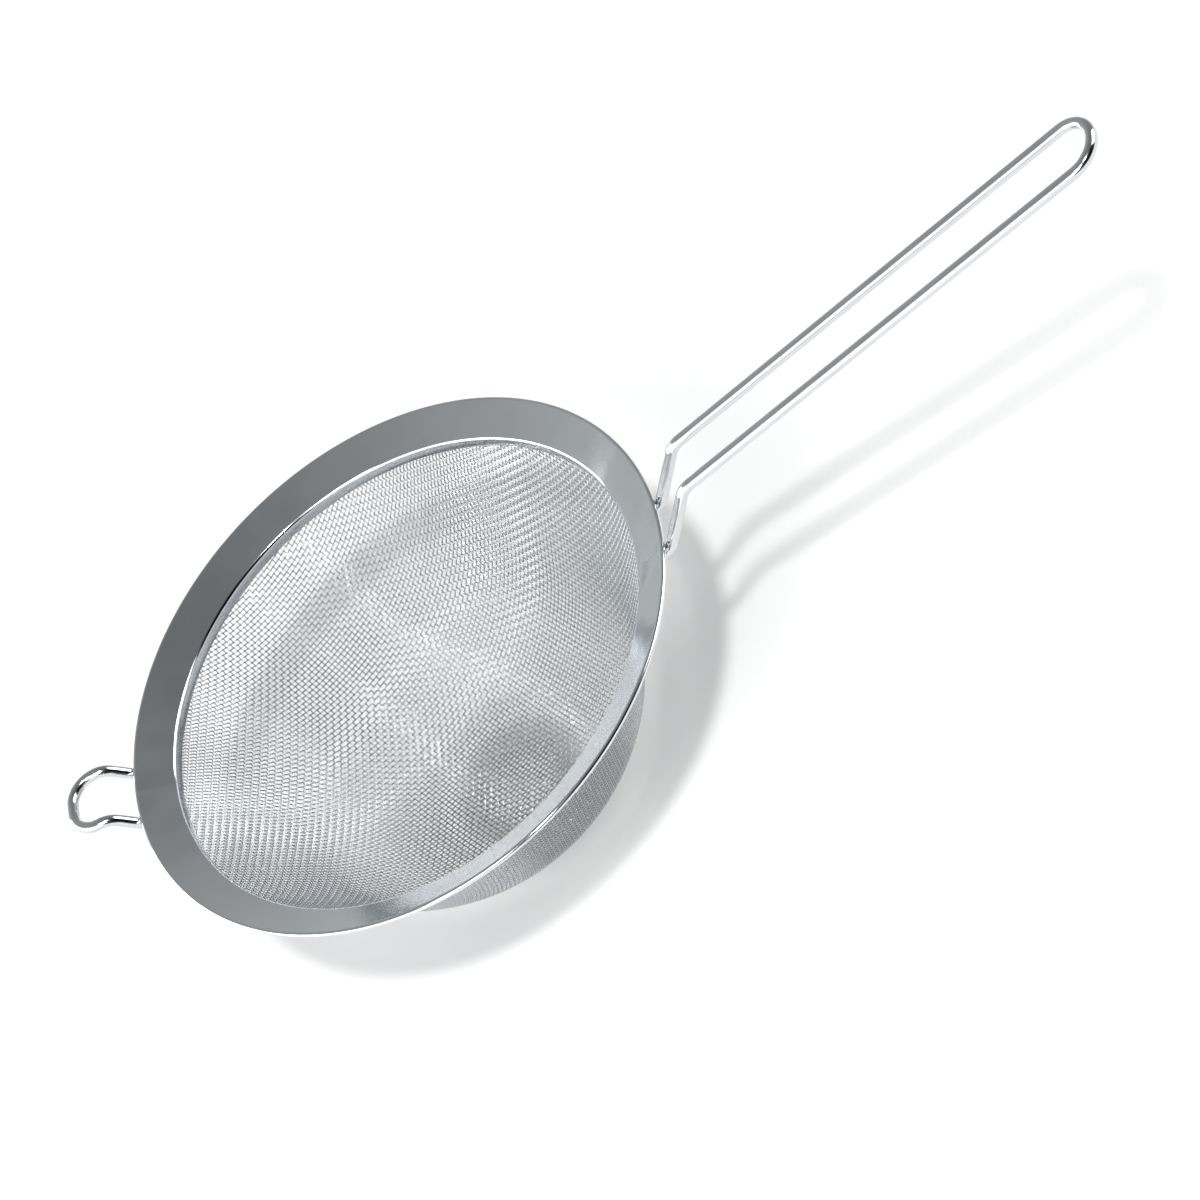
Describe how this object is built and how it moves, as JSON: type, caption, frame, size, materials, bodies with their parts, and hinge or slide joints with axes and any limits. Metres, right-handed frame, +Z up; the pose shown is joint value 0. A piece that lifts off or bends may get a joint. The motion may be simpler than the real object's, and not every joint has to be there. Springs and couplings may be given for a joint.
{
  "type": "mesh strainer",
  "caption": "Round kitchen strainer: woven steel mesh bowl clamped in a flanged rim, with a long looped wire handle on one side and a short wire rest loop opposite.",
  "frame": {"origin": "middle of the bowl's flat underside, on the bowl's axis", "axes": "+X from the bowl's axis towards the handle, +Z up along the bowl's axis, rim level"},
  "size_m": [0.4074, 0.2, 0.1459],
  "materials": {
    "polished_sheet": "polished stainless sheet",
    "woven_cloth": "plain woven stainless wire cloth",
    "polished_wire": "electropolished stainless wire",
    "weld_metal": "dull cleaned weld"
  },
  "bodies": {
    "root": {"rim": "polished_sheet", "mesh_bowl": "woven_cloth", "clamping_hoop": "polished_sheet", "handle": "polished_wire", "rest": "polished_wire", "handle_weld_left": "weld_metal", "handle_weld_right": "weld_metal", "rest_weld_left": "weld_metal", "rest_weld_right": "weld_metal"}
  },
  "joints": []
}
